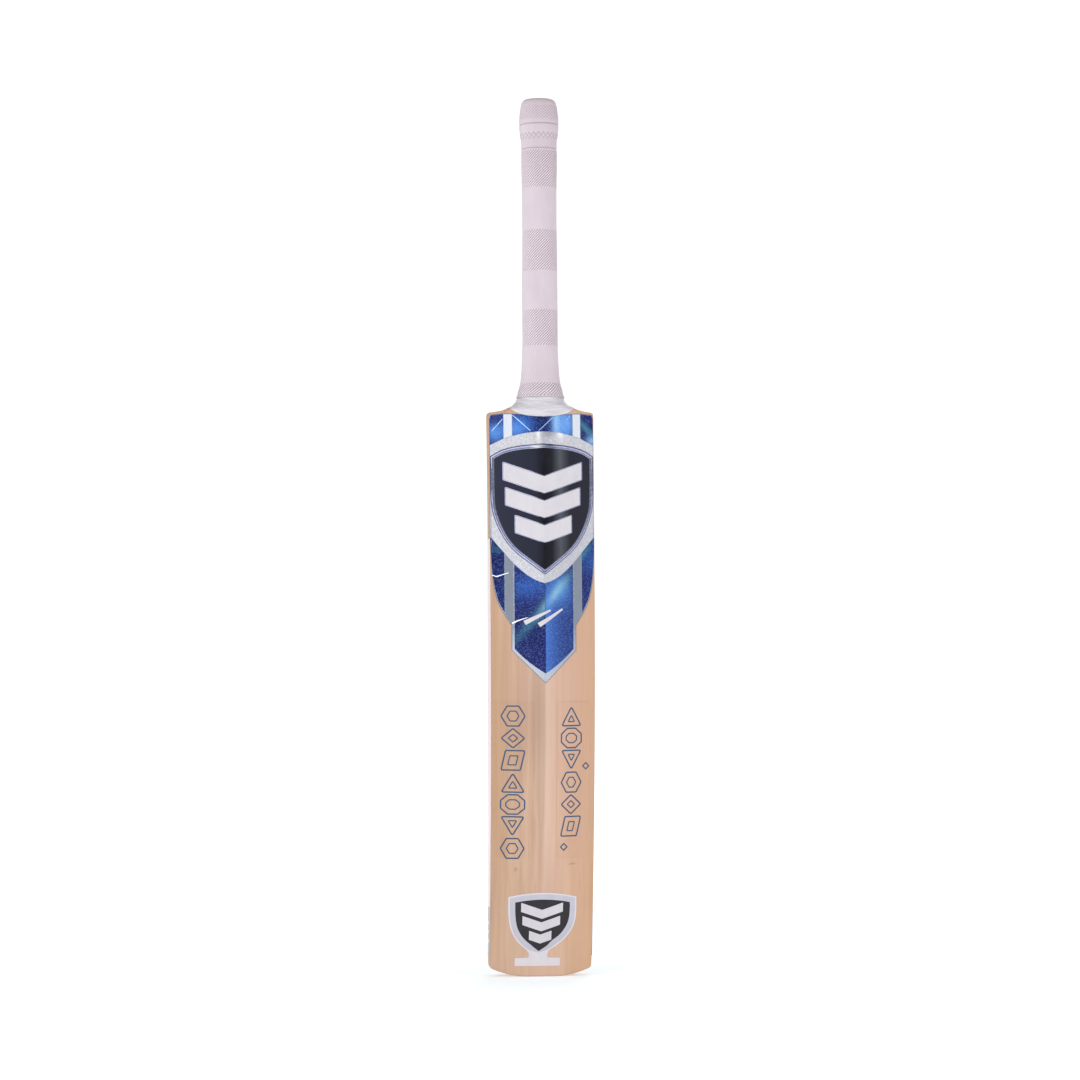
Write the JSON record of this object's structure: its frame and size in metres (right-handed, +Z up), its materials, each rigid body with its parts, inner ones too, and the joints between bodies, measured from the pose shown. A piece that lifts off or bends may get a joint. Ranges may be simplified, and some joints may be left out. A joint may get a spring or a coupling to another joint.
{
  "type": "cricket bat",
  "caption": "Full-size short-handle cricket bat: bowed willow blade with a spine, spliced laminated cane handle, rubber grip, neck tape and foil stickers.",
  "frame": {"origin": "middle of the flat at the bottom of the toe", "axes": "+Z up the bat from the toe to the top of the grip, -Y out of the back with the spine, +Y out of the hitting face, +X to the right seen from the back"},
  "size_m": [0.105, 0.08, 0.864],
  "materials": {
    "willow": "pressed willow with fine straight grain, lightly oiled, satin",
    "cane": "sanded cane, matt",
    "spring_rubber": "matt dark rubber strip",
    "twine": "close-wound linen twine",
    "grip_rubber": "off-white rubber with ribs and bands of fine texture",
    "neck_tape": "white cloth tape in overlapping turns, slight sheen",
    "blue_film": "printed foil sticker, metallic blue with light streaks and silver glitter",
    "badge_plastic": "dark domed badge with a chrome bevel",
    "silver_film": "silver glitter foil sticker with white border",
    "clear_film": "clear sticker film with dark blue outlined shapes",
    "edge_film": "white edge sticker, semi-gloss"
  },
  "bodies": {
    "root": {"blade": "willow", "cane_slip_back_left": "cane", "cane_slip_back_centre": "cane", "cane_slip_back_right": "cane", "cane_slip_inner_back_left": "cane", "cane_slip_inner_back_centre": "cane", "cane_slip_inner_back_right": "cane", "cane_slip_inner_face_left": "cane", "cane_slip_inner_face_centre": "cane", "cane_slip_inner_face_right": "cane", "cane_slip_face_left": "cane", "cane_slip_face_centre": "cane", "cane_slip_face_right": "cane", "spring_strip_back": "spring_rubber", "spring_strip_middle": "spring_rubber", "spring_strip_face": "spring_rubber", "twine_band_1": "twine", "twine_band_2": "twine", "twine_band_3": "twine", "twine_band_4": "twine", "grip": "grip_rubber", "neck_tape": "neck_tape", "main_back_sticker": "blue_film", "badge": "badge_plastic", "lower_back_sticker": "silver_film", "left_outline_decal": "clear_film", "right_outline_decal": "clear_film", "face_sticker": "silver_film", "left_edge_sticker": "edge_film", "right_edge_sticker": "edge_film"}
  },
  "joints": []
}
